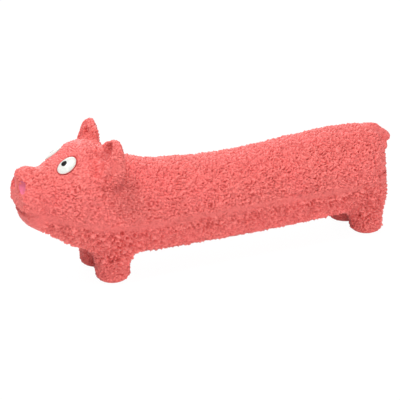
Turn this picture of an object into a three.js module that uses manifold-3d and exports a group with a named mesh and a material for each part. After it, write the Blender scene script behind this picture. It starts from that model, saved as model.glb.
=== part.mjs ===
// A long latex dog toy in the shape of a pig: a hollow moulded skin packed with fibre,
// painted eyes and nostrils, and a squeaker pressed into a hole in the belly.
// Millimetres. The snout points to -X, the tail to +X, and the feet stand on Z = 0.

import * as THREE from 'three';
import { mergeVertices } from 'three/addons/utils/BufferGeometryUtils.js';
import Module from 'manifold-3d';

const wasm = await Module();
wasm.setup();

// Overall sizes of the skin
const skinLength = 207.4;
const tailReach = 6.6;
const headLength = 56;
const crownHeight = 72.2;
const headWidth = 44;
const backHeight = 53.2;
const rumpHeight = 57;
const bodyWidth = 42;
const bellyHeight = 9.2;
const equatorHeight = 31;
const rumpRadius = 9;
const rumpSideRadius = 17;
const skinWall = 2;
const snoutFill = 7;

// Snout, mouth and chin
const snoutLength = 12;
const snoutHeight = 20.6;
const snoutWidth = 22.4;
const snoutCentreHeight = 52.6;
const snoutWidestDrop = 3.2;
const snoutRimRadius = 3.4;
const chinHeight = 30;
const mouthRadius = 1.2;
const mouthDrop = 0.4;
const nostrilWidth = 6;
const nostrilHeight = 7.2;
const nostrilDepth = 1.7;
const nostrilSpacing = 11.4;
const nostrilRise = 2.3;
const nostrilPaint = 0.6;

// Eyes
const eyeLength = 10.8;
const eyeWidth = 7.6;
const eyeProud = 1.9;
const pupilWidth = 3.1;
const pupilProud = 0.7;

// Ears
const earHeight = 16.8;
const earBase = 23;
const earThickness = 11;
const earSlant = 3.6;
const earCupDepth = 5.2;

// Legs and tail
const frontLegSetback = 45.6;
const rearLegSetback = 13.2;
const legTrack = 21.6;
const footDiameter = 17.4;
const legTopDiameter = 19.4;
const legTopHeight = 28;
const soleRounding = 3.2;
const soleThickness = 2.4;
const tailThickness = 5;
const tailCurlRadius = 3.2;
const tailDrop = 10.6;
const tailSetback = 13.6;

// Squeaker in the belly
const flangeDiameter = 16;
const flangeThickness = 1.2;
const neckDiameter = 12.6;
const rimDiameter = 15;
const rimThickness = 1.4;
const barrelDiameter = 11;
const barrelLength = 13;
const boreDiameter = 8;
const airHoleDiameter = 3.4;
const seatThickness = 4;
const seatMargin = 2.2;
const reedLength = 10;
const reedWidth = 3.6;
const reedThickness = 0.25;
const reedRoot = 2.4;
const troughChannelWidth = 2.4;
const troughChannelDepth = 1.8;
const guardWall = 1;
const guardLength = 6;
const guardHoleDiameter = 2.2;

// Clearance between pieces that touch, and the overrun of every cut
const gap = 0.3;
const skinGap = 0.36;
const fibreGap = 0.7;
const overrun = 2;

// Counts of facets
const skinSides = 32;
const cavitySides = 20;
const roundSides = 24;
const eyeSides = 20;
const pitSides = 14;
const guardHoles = 4;

// Places worked out from the sizes above
const noseX = -(skinLength + tailReach) / 2;
const rumpX = noseX + skinLength;
const neckX = noseX + headLength;
const bodyLength = skinLength - headLength;
const frontLegX = noseX + frontLegSetback;
const rearLegX = rumpX - rearLegSetback;
const snoutWidestHeight = snoutCentreHeight - snoutWidestDrop;
const squeakerShare = 0.48;
const squeakerX = frontLegX + (rearLegX - frontLegX) * squeakerShare;

// Materials
const latexColour = 0xe7726c;
const latexRoughness = 0.55;

function material(colour, roughness, metalness = 0) {
  return new THREE.MeshStandardMaterial({ color: colour, roughness, metalness });
}

// Solids and meshes

function solidOf(geometry) {
  const bare = geometry.clone();
  bare.deleteAttribute('normal');
  bare.deleteAttribute('uv');
  const merged = mergeVertices(bare);
  return new wasm.Manifold(new wasm.Mesh({
    numProp: 3,
    vertProperties: new Float32Array(merged.attributes.position.array),
    triVerts: new Uint32Array(merged.index.array),
  }));
}

function geometryOf(solid) {
  const mesh = solid.getMesh();
  const geometry = new THREE.BufferGeometry();
  geometry.setAttribute('position', new THREE.BufferAttribute(mesh.vertProperties, 3));
  geometry.setIndex(new THREE.BufferAttribute(mesh.triVerts, 1));
  geometry.computeVertexNormals();
  return geometry;
}

// A closed body through rings of points, with a fan over each end.
function loft(rings) {
  const sides = rings[0].length;
  const points = rings.flat();
  const faces = [];
  for (let r = 0; r < rings.length - 1; r++) {
    for (let s = 0; s < sides; s++) {
      const a = r * sides + s;
      const b = r * sides + (s + 1) % sides;
      faces.push(a, b, b + sides, a, b + sides, a + sides);
    }
  }
  for (const r of [0, rings.length - 1]) {
    const centre = rings[r].reduce((sum, p) => sum.add(p), new THREE.Vector3()).divideScalar(sides);
    const hub = points.push(centre) - 1;
    for (let s = 0; s < sides; s++) {
      const a = r * sides + s;
      const b = r * sides + (s + 1) % sides;
      faces.push(...(r === 0 ? [hub, b, a] : [hub, a, b]));
    }
  }
  const geometry = new THREE.BufferGeometry().setFromPoints(points);
  geometry.setIndex(faces);
  return solidOf(geometry);
}

// A post on the Z axis, standing from one height to another.
function post(diameter, from, to, topDiameter = diameter) {
  const geometry = new THREE.CylinderGeometry(topDiameter / 2, diameter / 2, to - from, roundSides);
  geometry.rotateX(Math.PI / 2);
  geometry.translate(0, 0, (from + to) / 2);
  return solidOf(geometry);
}

// A body turned about the Z axis from a profile of [radius, height] points.
function turned(profile) {
  const geometry = new THREE.LatheGeometry(profile.map(([r, z]) => new THREE.Vector2(r, z)), roundSides);
  geometry.rotateX(Math.PI / 2);
  return solidOf(geometry);
}

// Outlines of the skin, as [distance along X, value] points that a smooth curve runs through

const snoutTop = snoutCentreHeight + snoutHeight / 2;
const snoutBottom = snoutCentreHeight - snoutHeight / 2;

// Each row: share of the head's length from the snout face, then shares of the drop or rise it follows.
const browShares = [
  [0.24, -0.1], [0.34, 0.2], [0.44, 0.56], [0.55, 0.94], [0.66, 1], [0.8, 0.68], [0.94, 0.1],
];
const throatShares = [[0.24, 0.09], [0.34, 0.26], [0.44, 0.44], [0.56, 0.57], [0.7, 0.66], [0.86, 0.8]];
const cheekShares = [[0.26, 0.58], [0.34, 0.74], [0.42, 0.87], [0.52, 0.96], [0.66, 1], [0.84, 1]];
const middleShares = [[0.26, 0], [0.42, 0.32], [0.62, 0.63], [0.86, 0.9]];
const snoutTopShares = [[0, -0.06], [0.4, 0.04], [0.75, 0]];
const lipShares = [
  [0, 0], [0.1, 0.04], [0.167, 0.24], [0.225, 0.57], [0.317, 0.81], [0.45, 0.94], [0.71, 1.02],
];
const snoutWidthShares = [[0, 0.98], [0.45, 1], [0.85, 1.02]];

// Each row: share of the body's length from the neck, then a share of the way it follows.
const backShares = [
  [0.1, 1.05], [0.2, 0.5], [0.34, 0], [0.5, 0.12], [0.66, 0.62], [0.8, 1], [0.92, 0.9], [1, 0.6],
];
const keelShares = [[0.04, 0.93], [0.16, 0.98], [0.34, 1], [0.52, 1], [0.7, 0.97], [0.86, 0.9], [1, 0.82]];
const flankShares = [[0.06, 1.01], [0.25, 0.985], [0.45, 0.98], [0.65, 1], [0.85, 1.02], [1, 1]];

const alongHead = (share) => noseX + share * headLength;
const alongBody = (share) => neckX + share * bodyLength;
const alongSnout = (share) => noseX + share * snoutLength;
const between = (from, to, share) => from + (to - from) * share;

const ridge = [
  ...snoutTopShares.map(([at, share]) => [alongSnout(at), snoutTop + share * snoutHeight]),
  ...browShares.map(([at, share]) => [alongHead(at), between(snoutTop, crownHeight, share)]),
  ...backShares.map(([at, share]) => [alongBody(at), between(backHeight, rumpHeight, share)]),
];
const keel = [
  ...lipShares.map(([at, share]) => [alongSnout(at), between(snoutBottom, chinHeight, share)]),
  ...throatShares.map(([at, share]) => [alongHead(at), between(chinHeight, bellyHeight, share)]),
  ...keelShares.map(([at, share]) => [alongBody(at), between(equatorHeight, bellyHeight, share)]),
];
const flank = [
  ...snoutWidthShares.map(([at, share]) => [alongSnout(at), share * snoutWidth / 2]),
  ...cheekShares.map(([at, share]) => [alongHead(at), between(0, headWidth / 2, share)]),
  ...flankShares.map(([at, share]) => [alongBody(at), share * bodyWidth / 2]),
];
const equator = [
  [noseX, snoutWidestHeight],
  ...middleShares.map(([at, share]) => [alongHead(at), between(snoutWidestHeight, equatorHeight, share)]),
  [alongBody(0), equatorHeight],
  [rumpX, equatorHeight],
];

// The height of a smooth curve through an outline's points, at a place along X.
function heightAt(outline, x) {
  let i = 0;
  while (i < outline.length - 2 && x > outline[i + 1][0]) i++;
  const slope = (a, b) => (outline[b][1] - outline[a][1]) / (outline[b][0] - outline[a][0]);
  const tangent = (k) => (k === 0 || k === outline.length - 1 ? slope(i, i + 1) : slope(k - 1, k + 1));
  const [x0, y0] = outline[i];
  const [x1, y1] = outline[i + 1];
  const span = x1 - x0;
  const t = THREE.MathUtils.clamp((x - x0) / span, 0, 1);
  const ease = t * t * (3 - 2 * t);
  const pull = t * (1 - t) * (1 - t) * tangent(i) - t * t * (1 - t) * tangent(i + 1);
  return between(y0, y1, ease) + span * pull;
}

// A cross-section is two half super-ellipses, one over and one under the widest line.
// The power squares them off a little, more on the body than on the snout.
const squareness = 2.3;

// How far a rounded end draws in, at a distance from it.
function drawIn(radius, distance) {
  const short = Math.max(radius - Math.max(distance, 0), 0);
  return radius - Math.sqrt(radius * radius - short * short);
}

// The section at x of the skin grown by some thickness, which is negative for its inside.
const leastRimShare = 0.25;
const noseRadiusAt = (grow) => Math.max(snoutRimRadius + grow, snoutRimRadius * leastRimShare);

function sectionAt(x, grow) {
  const behind = rumpX + grow - x;
  const noseInset = drawIn(noseRadiusAt(grow), x - (noseX - grow));
  const inset = noseInset + drawIn(rumpRadius + grow, behind);
  const inside = THREE.MathUtils.clamp(x, noseX, rumpX);
  const middle = heightAt(equator, inside);
  return {
    middle,
    over: heightAt(ridge, inside) - middle + grow - inset,
    under: middle - heightAt(keel, inside) + grow - inset,
    side: heightAt(flank, inside) + grow - noseInset - drawIn(rumpSideRadius + grow, behind),
  };
}

// A point on the skin: at x, at an angle about the widest line, with 90 degrees at the top.
function skinPoint(x, angle, grow = 0) {
  const { middle, over, under, side } = sectionAt(x, grow);
  const bend = (value) => Math.sign(value) * Math.abs(value) ** (2 / squareness);
  const high = bend(Math.sin(angle));
  return new THREE.Vector3(x, side * bend(Math.cos(angle)), middle + high * (high > 0 ? over : under));
}

// The height of the skin's top line at x.
function onTop(x) {
  const { middle, over } = sectionAt(x, 0);
  return middle + over;
}

// The direction that the skin faces at a point.
const probeTurn = THREE.MathUtils.degToRad(4);
const alongSkin = (x, angle) => skinPoint(x + gap, angle).sub(skinPoint(x - gap, angle)).normalize();

function skinNormal(x, angle) {
  const round = skinPoint(x, angle + probeTurn).sub(skinPoint(x, angle - probeTurn));
  return alongSkin(x, angle).cross(round).normalize();
}

// Places of the rings along X: close together on the rounded ends and on the head.
const ringShares = [
  0.02, 0.045, 0.07, 0.095, 0.12, 0.15, 0.18, 0.21, 0.24, 0.28, 0.32, 0.38, 0.44, 0.5, 0.56,
  0.62, 0.68, 0.74, 0.8, 0.86, 0.92,
];
const endSteps = 6;

function ringPlaces(grow) {
  const noseRadius = noseRadiusAt(grow);
  const tailRadius = rumpSideRadius + grow;
  const first = noseX - grow + noseRadius;
  const last = rumpX + grow - tailRadius;
  const places = ringShares.map((share) => between(first, last, share));
  for (let k = 0; k <= endSteps; k++) {
    const reach = Math.cos(k * Math.PI / 2 / endSteps);
    places.push(first - noseRadius * reach, last + tailRadius * reach);
  }
  return places.sort((a, b) => a - b);
}

function skinSolid(grow, sides = skinSides) {
  const rings = ringPlaces(grow).map((x) => {
    const ring = [];
    for (let s = 0; s < sides; s++) ring.push(skinPoint(x, s * Math.PI * 2 / sides, grow));
    return ring;
  });
  return loft(rings);
}

const outside = skinSolid(0);
const clearOfSkin = skinSolid(skinGap);

// The hollow inside the skin, which stops short of the snout's face, where the latex pools.
function hollow(slack) {
  return skinSolid(-skinWall - slack, cavitySides).trimByPlane([1, 0, 0], noseX + snoutFill + slack);
}

const cavity = hollow(0);

// The neck: a leaning plane that parts the head from the body, with the ears ahead of it.
const neckLean = THREE.MathUtils.degToRad(36);
const blockSize = 2 * skinLength;

function besideNeck(side) {
  const geometry = new THREE.BoxGeometry(blockSize, blockSize, blockSize);
  geometry.translate(side * (blockSize + gap) / 2, 0, 0);
  geometry.rotateY(neckLean);
  geometry.translate(neckX, 0, (crownHeight + bellyHeight) / 2);
  return solidOf(geometry);
}

// Legs: stubs with rounded soles, hollow from above, that grow out of the belly.
const legs = [];
for (const [end, x] of [['front', frontLegX], ['rear', rearLegX]]) {
  for (const [hand, side] of [['left', -1], ['right', 1]]) {
    legs.push({ name: `leg_${end}_${hand}`, x, y: side * legTrack / 2 });
  }
}
const legBore = footDiameter - 2 * skinWall;
const soleSteps = 4;
const shoulderSteps = 5;
const shoulderShare = 0.55;

function legSolid({ x, y }) {
  const foot = footDiameter / 2;
  const profile = [[0, 0]];
  for (let k = 0; k <= soleSteps; k++) {
    const turn = k * Math.PI / 2 / soleSteps;
    profile.push([foot - soleRounding * (1 - Math.sin(turn)), soleRounding * (1 - Math.cos(turn))]);
  }
  const shoulder = legTopHeight * shoulderShare;
  for (let k = 0; k < shoulderSteps; k++) {
    const turn = k * Math.PI / 2 / shoulderSteps;
    profile.push([legTopDiameter / 2 * Math.cos(turn), between(shoulder, legTopHeight, Math.sin(turn))]);
  }
  profile.push([0, legTopHeight]);
  const bore = post(legBore, soleThickness, legTopHeight + overrun);
  return turned(profile).subtract(bore).translate(x, y, 0).subtract(clearOfSkin);
}

function legHoles() {
  return wasm.Manifold.union(legs.map(({ x, y }) => post(legBore, 0, equatorHeight).translate(x, y, 0)));
}

// Ears: cupped flaps that stand off the upper corners of the head, hollow on the side that faces forward.
const earPlaceShare = 0.838;
const earAngle = THREE.MathUtils.degToRad(50);
const earRings = 9;
const earSides = 16;
const earRootShare = 0.35;
const earSplayShare = 0.53;
const earCurlShare = 0.14;
const earTipShare = 0.11;
const earRoundness = 2.2;
const earLean = THREE.MathUtils.degToRad(39);

// A flap that runs up the ear between two shares of its height. Its foot lies further forward than its tip.
function earFlap(side, scale, forward, low, high) {
  const root = skinPoint(alongHead(earPlaceShare), earAngle);
  const across = new THREE.Vector3(0, Math.cos(earLean), -Math.sin(earLean));
  const rise = new THREE.Vector3(0, earSplayShare, 1).normalize();
  const rings = [];
  for (let k = 0; k < earRings; k++) {
    const t = k / (earRings - 1);
    const size = scale * Math.max(Math.sqrt(1 - t ** earRoundness), earTipShare);
    const centre = root.clone().addScaledVector(rise, between(low, high, t) * earHeight);
    centre.addScaledVector(across, earBase * earCurlShare * (t - t * t));
    centre.x -= forward + earSlant * (1 - between(low, high, t));
    const ring = [];
    for (let s = 0; s < earSides; s++) {
      const angle = -s * Math.PI * 2 / earSides;
      const point = centre.clone().addScaledVector(across, Math.cos(angle) * size * earBase / 2);
      point.x += Math.sin(angle) * size * earThickness / 2;
      ring.push(point);
    }
    rings.push(ring);
  }
  return side > 0 ? loft(rings) : loft(rings).mirror([0, 1, 0]);
}

const earCupShare = 0.66;
const earCupShares = [0.08, 0.86];

function earSolid(side) {
  const cup = earFlap(side, earCupShare, earCupDepth, ...earCupShares);
  return earFlap(side, 1, 0, -earRootShare, 1).subtract(cup).subtract(clearOfSkin);
}

// Eyes: white oval domes laid on the brow, each with a small black pupil near its front end.
const eyePlaceShare = 0.415;
const eyeAngle = THREE.MathUtils.degToRad(64);
const eyeTilt = THREE.MathUtils.degToRad(16);
const pupilForwardShare = 0.13;
const pupilDropShare = -0.12;

// A rounded dome on the right eye's place, slid forward and down by shares of the eye's own size.
function domeAtEye(length, width, proud, forwardShare, dropShare) {
  const x = alongHead(eyePlaceShare);
  const normal = skinNormal(x, eyeAngle);
  const along = alongSkin(x, eyeAngle).applyAxisAngle(normal, eyeTilt);
  const across = new THREE.Vector3().crossVectors(normal, along);
  const geometry = new THREE.SphereGeometry(1, eyeSides, eyeSides / 2);
  geometry.rotateX(Math.PI / 2);
  geometry.scale(length / 2, width / 2, proud);
  geometry.translate(-forwardShare * eyeLength / 2, -dropShare * eyeWidth / 2, 0);
  geometry.applyMatrix4(new THREE.Matrix4().makeBasis(along, across, normal));
  const place = skinPoint(x, eyeAngle);
  geometry.translate(place.x, place.y, place.z);
  return solidOf(geometry);
}

function onSide(side, solid) {
  return side > 0 ? solid : solid.mirror([0, 1, 0]);
}

function eyeDome(grow) {
  return domeAtEye(eyeLength + 2 * grow, eyeWidth + 2 * grow, eyeProud + grow, 0, 0);
}

function eyeSolid(side) {
  return onSide(side, eyeDome(0)).subtract(clearOfSkin);
}

function pupilSolid(side) {
  const dot = domeAtEye(pupilWidth, pupilWidth, eyeProud + pupilProud, pupilForwardShare, pupilDropShare);
  return onSide(side, dot.subtract(eyeDome(gap))).subtract(clearOfSkin);
}

// Nostrils: two shallow oval pits in the snout's flat face, with a coat of paint in the bottom of each.
function nostrilPit(side, inset) {
  const geometry = new THREE.SphereGeometry(1, pitSides, pitSides / 2);
  geometry.scale(nostrilDepth - inset, nostrilWidth / 2 - inset, nostrilHeight / 2 - inset);
  geometry.translate(noseX, side * nostrilSpacing / 2, snoutCentreHeight + nostrilRise);
  return solidOf(geometry);
}

function nostrilPaintSolid(side) {
  const blocked = nostrilPit(side, skinGap).translate(-nostrilPaint, 0, 0);
  return nostrilPit(side, skinGap).subtract(blocked).intersect(insideSnout);
}

const paintBlock = new THREE.BoxGeometry(snoutLength, snoutWidth, snoutHeight);
paintBlock.translate(noseX + gap + snoutLength / 2, 0, snoutCentreHeight);
const insideSnout = solidOf(paintBlock);

// Mouth: a groove between the snout and the lower lip that runs back along each cheek.
// Each row: share of the snout's length, then how far out of the skin the groove's centre lies, as a share.
const mouthShares = [[0.1, 0], [0.13, 0], [0.2, 0], [0.3, 0.02], [0.42, 0.08], [0.54, 0.2]];
const mouthSteps = 18;
const mouthSides = 3;

function mouthGroove() {
  const half = mouthShares.map(([at, outShare]) => {
    const x = alongSnout(at);
    const z = snoutBottom - mouthDrop * at;
    const { middle, under, side } = sectionAt(x, 0);
    const low = Math.min((middle - z) / under, 1);
    return new THREE.Vector3(x, side * (1 + outShare) * (1 - low ** squareness) ** (1 / squareness), z);
  });
  half[0].y = 0;
  const mirrored = half.slice(1).map((p) => new THREE.Vector3(p.x, -p.y, p.z)).reverse();
  const path = new THREE.CatmullRomCurve3([...mirrored, ...half]);
  const round = new THREE.Shape().absarc(0, 0, mouthRadius, 0, Math.PI * 2);
  return solidOf(new THREE.ExtrudeGeometry(round, {
    steps: mouthSteps,
    curveSegments: mouthSides * 2,
    extrudePath: path,
    bevelEnabled: false,
  }));
}

// Tail: it leaves the top of the rump, sweeps back over its corner and curls once behind it.
const tailSteps = 26;
const tailSides = 8;
const tailTurns = 1.1;
const tailTurnSteps = 12;
const tailRootSwellShare = 1.25;
const tailTipShare = 0.5;
const tailCurlShares = [1, 0.55];
const tailPressShare = 0.8;
const tailRumpShare = 0.85;
const tailRumpSteps = 5;
const tailLiftShares = [-1, 0.08];

function tailPath() {
  const rootX = rumpX - tailSetback;
  const back = rumpX + tailReach - tailThickness / 2;
  const curlHeight = heightAt(ridge, rumpX) - tailDrop;
  const points = [];
  for (let k = 0; k <= tailRumpSteps; k++) {
    const t = k / tailRumpSteps;
    const x = between(rootX, rumpX, t * tailRumpShare);
    points.push(new THREE.Vector3(x, 0, onTop(x) + tailThickness * between(...tailLiftShares, Math.sqrt(t))));
  }
  for (let k = 0; k <= tailTurnSteps; k++) {
    const t = k / tailTurnSteps;
    const angle = Math.PI / 2 - t * tailTurns * Math.PI * 2;
    const curl = tailCurlRadius * between(...tailCurlShares, t);
    const x = back - t * tailPressShare * (tailReach - tailThickness / 2);
    points.push(new THREE.Vector3(x, curl * Math.cos(angle), curlHeight + curl * Math.sin(angle)));
  }
  return new THREE.CatmullRomCurve3(points);
}

// Each ring keeps the turn of the one before it, so the tail doesn't twist.
function tailSolid() {
  const path = tailPath();
  const rings = [];
  const aside = new THREE.Vector3(0, 1, 0);
  for (let k = 0; k <= tailSteps; k++) {
    const t = k / tailSteps;
    const centre = path.getPoint(t);
    const ahead = path.getTangent(t);
    aside.addScaledVector(ahead, -aside.dot(ahead)).normalize();
    const out = new THREE.Vector3().crossVectors(aside, ahead);
    const thick = tailThickness / 2 * between(tailRootSwellShare, tailTipShare, Math.sqrt(t));
    const ring = [];
    for (let n = 0; n < tailSides; n++) {
      const turn = -n * Math.PI * 2 / tailSides;
      const point = centre.clone().addScaledVector(aside, thick * Math.cos(turn));
      ring.push(point.addScaledVector(out, thick * Math.sin(turn)));
    }
    rings.push(ring);
  }
  return loft(rings).subtract(clearOfSkin);
}

// Squeaker: a plug with a flange outside the belly and a rim inside it, holding a reed in its bore.
const seatDiameter = rimDiameter + 2 * seatMargin;
const keelHere = heightAt(keel, squeakerX);
const seatTop = keelHere + seatThickness;
const rimBottom = seatTop + gap;
const barrelTop = keelHere + seatThickness + rimThickness + barrelLength;
const guardTop = barrelTop + gap + guardWall;

const placeSqueaker = (solid) => solid.translate(squeakerX, 0, 0);

function squeakerBody() {
  const flangeTop = keelHere + flangeThickness;
  const rimTop = rimBottom + rimThickness;
  return placeSqueaker(turned([
    [airHoleDiameter / 2, keelHere], [flangeDiameter / 2, keelHere], [flangeDiameter / 2, flangeTop],
    [neckDiameter / 2, flangeTop], [neckDiameter / 2, rimBottom], [rimDiameter / 2, rimBottom],
    [barrelDiameter / 2, rimTop], [barrelDiameter / 2, barrelTop], [boreDiameter / 2, barrelTop],
    [boreDiameter / 2, flangeTop], [airHoleDiameter / 2, flangeTop], [airHoleDiameter / 2, keelHere],
  ]));
}

function slab(width, depth, from, to, x) {
  const geometry = new THREE.BoxGeometry(width, depth, to - from);
  geometry.translate(x, 0, (from + to) / 2);
  return solidOf(geometry);
}

const reedFace = reedThickness / 2 + gap;
const troughBottom = keelHere + flangeThickness + gap;
const reedTop = barrelTop - gap;
const rodDiameter = boreDiameter - 2 * gap;

function reedTrough() {
  const rod = post(rodDiameter, troughBottom, reedTop);
  const from = troughBottom - overrun;
  const free = slab(rodDiameter, rodDiameter, from, reedTop + overrun, rodDiameter / 2 - reedFace);
  const channel = slab(troughChannelDepth * 2, troughChannelWidth, from, reedTop - reedRoot, -reedFace);
  return placeSqueaker(rod.subtract(free).subtract(channel));
}

function reedClamp() {
  const rod = post(rodDiameter, reedTop - reedRoot, reedTop);
  const free = slab(rodDiameter, rodDiameter, troughBottom, reedTop + overrun, reedFace - rodDiameter / 2);
  return placeSqueaker(rod.subtract(free));
}

function reedSolid() {
  return placeSqueaker(slab(reedThickness, reedWidth, reedTop - reedLength, reedTop, 0));
}

function fibreGuard() {
  const inner = barrelDiameter / 2 + gap;
  const outer = inner + guardWall;
  const bottom = guardTop - guardLength;
  let cap = turned([
    [inner, bottom], [outer, bottom], [outer, guardTop], [0, guardTop], [0, guardTop - guardWall],
    [inner, guardTop - guardWall], [inner, bottom],
  ]);
  for (let k = 0; k < guardHoles; k++) {
    const angle = k * Math.PI * 2 / guardHoles;
    const hole = post(guardHoleDiameter, guardTop - guardWall - overrun, guardTop + overrun);
    cap = cap.subtract(hole.translate(inner / 2 * Math.cos(angle), inner / 2 * Math.sin(angle), 0));
  }
  return placeSqueaker(cap);
}

// The skin of the body and of the head, and the fibre that fills them.
function bodySkin() {
  const seat = placeSqueaker(post(seatDiameter, keelHere, seatTop)).intersect(outside);
  const recessTop = keelHere + flangeThickness + gap;
  const recess = placeSqueaker(post(flangeDiameter + 2 * gap, keelHere - overrun, recessTop));
  const hole = placeSqueaker(post(neckDiameter + 2 * gap, keelHere, seatTop + overrun));
  const skin = outside.subtract(cavity).add(seat).subtract(recess).subtract(hole);
  return skin.subtract(legHoles()).intersect(besideNeck(1));
}

function headSkin() {
  let skin = outside.subtract(cavity).subtract(mouthGroove());
  for (const side of [-1, 1]) skin = skin.subtract(nostrilPit(side, 0));
  return skin.subtract(legHoles()).intersect(besideNeck(-1));
}

function fibreFilling() {
  let filling = hollow(fibreGap);
  for (const leg of legs) {
    const inLeg = post(legBore - 2 * gap, soleThickness + gap, equatorHeight);
    filling = filling.add(inLeg.translate(leg.x, leg.y, 0));
  }
  const seatRoom = post(seatDiameter + 2 * gap, keelHere - overrun, seatTop + gap);
  const barrelRoom = post(rimDiameter + 2 * gap, keelHere, guardTop + gap);
  return filling.subtract(placeSqueaker(seatRoom)).subtract(placeSqueaker(barrelRoom));
}

// The assembled toy
const toy = new THREE.Group();
toy.name = 'dog_toy';

function addPiece(name, solid, colour, roughness) {
  const mesh = new THREE.Mesh(geometryOf(solid), material(colour, roughness));
  mesh.name = name;
  toy.add(mesh);
}

const eyeWhite = 0xf2efec;
const pupilBlack = 0x2b2623;
const nostrilPink = 0xe06a92;
const fibreWhite = 0xf0eee8;
const squeakerWhite = 0xe9e6df;
const paintRoughness = 0.3;
const fibreRoughness = 0.95;
const squeakerRoughness = 0.4;

addPiece('body_skin', bodySkin(), latexColour, latexRoughness);
addPiece('head_skin', headSkin(), latexColour, latexRoughness);
for (const leg of legs) addPiece(leg.name, legSolid(leg), latexColour, latexRoughness);
for (const [hand, side] of [['left', -1], ['right', 1]]) {
  addPiece(`ear_${hand}`, earSolid(side), latexColour, latexRoughness);
  addPiece(`eye_${hand}`, eyeSolid(side), eyeWhite, paintRoughness);
  addPiece(`pupil_${hand}`, pupilSolid(side), pupilBlack, paintRoughness);
  addPiece(`nostril_paint_${hand}`, nostrilPaintSolid(side), nostrilPink, latexRoughness);
}
addPiece('tail', tailSolid(), latexColour, latexRoughness);
addPiece('fibre_filling', fibreFilling(), fibreWhite, fibreRoughness);
addPiece('squeaker_body', squeakerBody(), squeakerWhite, squeakerRoughness);
addPiece('reed_trough', reedTrough(), squeakerWhite, squeakerRoughness);
addPiece('squeaker_reed', reedSolid(), squeakerWhite, squeakerRoughness);
addPiece('reed_clamp', reedClamp(), squeakerWhite, squeakerRoughness);
addPiece('fibre_guard', fibreGuard(), squeakerWhite, squeakerRoughness);

export default toy;
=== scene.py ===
# %% [markdown]
# # A long latex pig, dressed for the camera
# The toy is one hollow skin of coral-pink latex, filled with fibre, with painted eyes and nostrils and a
# squeaker pressed into its belly. The imported CAD model says where every part is. This file gives the skin
# its fillets, its cupped ears and its crinkles, paints it, and lights it as a plain studio picture.

# %% Load the imported model, which nothing here moves
import math

import bpy
import numpy as np
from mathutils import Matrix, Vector, noise


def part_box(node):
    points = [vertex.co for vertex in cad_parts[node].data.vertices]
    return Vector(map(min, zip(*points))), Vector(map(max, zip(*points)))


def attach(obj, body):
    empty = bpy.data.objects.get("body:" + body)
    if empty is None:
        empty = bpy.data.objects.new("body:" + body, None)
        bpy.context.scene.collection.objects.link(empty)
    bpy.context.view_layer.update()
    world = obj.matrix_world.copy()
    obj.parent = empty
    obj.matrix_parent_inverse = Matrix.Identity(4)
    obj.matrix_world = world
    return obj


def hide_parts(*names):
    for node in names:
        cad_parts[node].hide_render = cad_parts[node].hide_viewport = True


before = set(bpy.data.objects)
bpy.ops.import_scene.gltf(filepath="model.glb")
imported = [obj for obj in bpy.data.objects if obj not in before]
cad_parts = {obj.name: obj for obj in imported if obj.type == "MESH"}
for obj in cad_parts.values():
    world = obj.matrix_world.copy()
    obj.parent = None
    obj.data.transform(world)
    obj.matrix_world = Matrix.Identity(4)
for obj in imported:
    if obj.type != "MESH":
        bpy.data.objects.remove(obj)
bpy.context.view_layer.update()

MM = 0.001
add_to_scene = bpy.context.scene.collection.objects.link

# %% [markdown]
# ## The camera
# The picture was taken from the toy's left, a little in front of it and above it. The camera stands on the
# line from the middle of the toy at those two angles. The distance sets the perspective, and the lens is
# as long as it must be for one millimetre at the toy to cover the same part of the picture as in the
# photograph.

# %% Camera
view_azimuth = math.radians(-25.2)
view_elevation = math.radians(22.3)
view_distance = 870 * MM
view_target = Vector((-7.16, 0, 29.8)) * MM
picture_pixels = 400
mm_per_pixel = 0.521
sensor_width = 36

towards_camera = Vector((
    math.sin(view_azimuth) * math.cos(view_elevation),
    -math.cos(view_azimuth) * math.cos(view_elevation),
    math.sin(view_elevation),
))
camera_data = bpy.data.cameras.new("photo_camera")
camera_data.sensor_width = sensor_width
camera_data.lens = view_distance / (mm_per_pixel * MM * picture_pixels) * sensor_width
camera = bpy.data.objects.new("photo_camera", camera_data)
camera.location = view_target + towards_camera * view_distance
camera.rotation_euler = towards_camera.to_track_quat("Z", "Y").to_euler()
add_to_scene(camera)
bpy.context.scene.camera = camera
print("lens", round(camera_data.lens, 1), "mm")

# %% [markdown]
# ## How the skin is made
# A moulded skin has no edges where a leg or an ear begins: it flows from one into the next. Boxes and
# tubes joined by booleans would leave hard lines there, and sculpting by hand can't be written down. So the
# skin is described by a field instead, a number for every point in space that is about the distance to the
# skin, and below zero inside it. Fields are easy to melt together: a smooth minimum of two of them is both
# shapes with a fillet between. At the end one mesh is drawn where the field is zero.
#
# All of this is in millimetres, and goes to metres when the mesh is made.

# %% Melting fields together
def melt(a, b, fillet):
    """Both shapes, with a fillet of about that width where they meet."""
    overlap = np.maximum(fillet - np.abs(a - b), 0) / fillet
    return np.minimum(a, b) - overlap * overlap * fillet / 4


def carve(a, b, fillet):
    """Shape a with shape b taken out of it, its rim rounded over about that width."""
    return -melt(-a, b, fillet)


def fade(low, high, value):
    """0 below low and 1 above high, with a smooth step between."""
    t = np.clip((value - low) / (high - low), 0, 1)
    return t * t * (3 - 2 * t)

# %% [markdown]
# The trunk and head are one long form. Four outlines along its length say how high its back is, how low
# its belly, how wide its flanks, and at what height it is widest. They are the CAD model's own, written as
# shares of a few sizes. A smooth curve runs through the points of each.

# %% Outlines of the trunk and head
nose_x, rump_x = -107.0, 99.9
head_length, snout_length = 56, 12
neck_x = nose_x + head_length
body_length = rump_x - neck_x
crown_height, back_height, rump_height = 72.2, 53.2, 56.6
belly_height, equator_height, chin_height = 9.2, 31, 30
snout_middle, snout_height, snout_width = 52.6, 20.6, 24.6
snout_widest_height = 47.4
head_width, body_width = 44, 42
snout_top = snout_middle + snout_height / 2
snout_bottom = snout_middle - snout_height / 2


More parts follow.
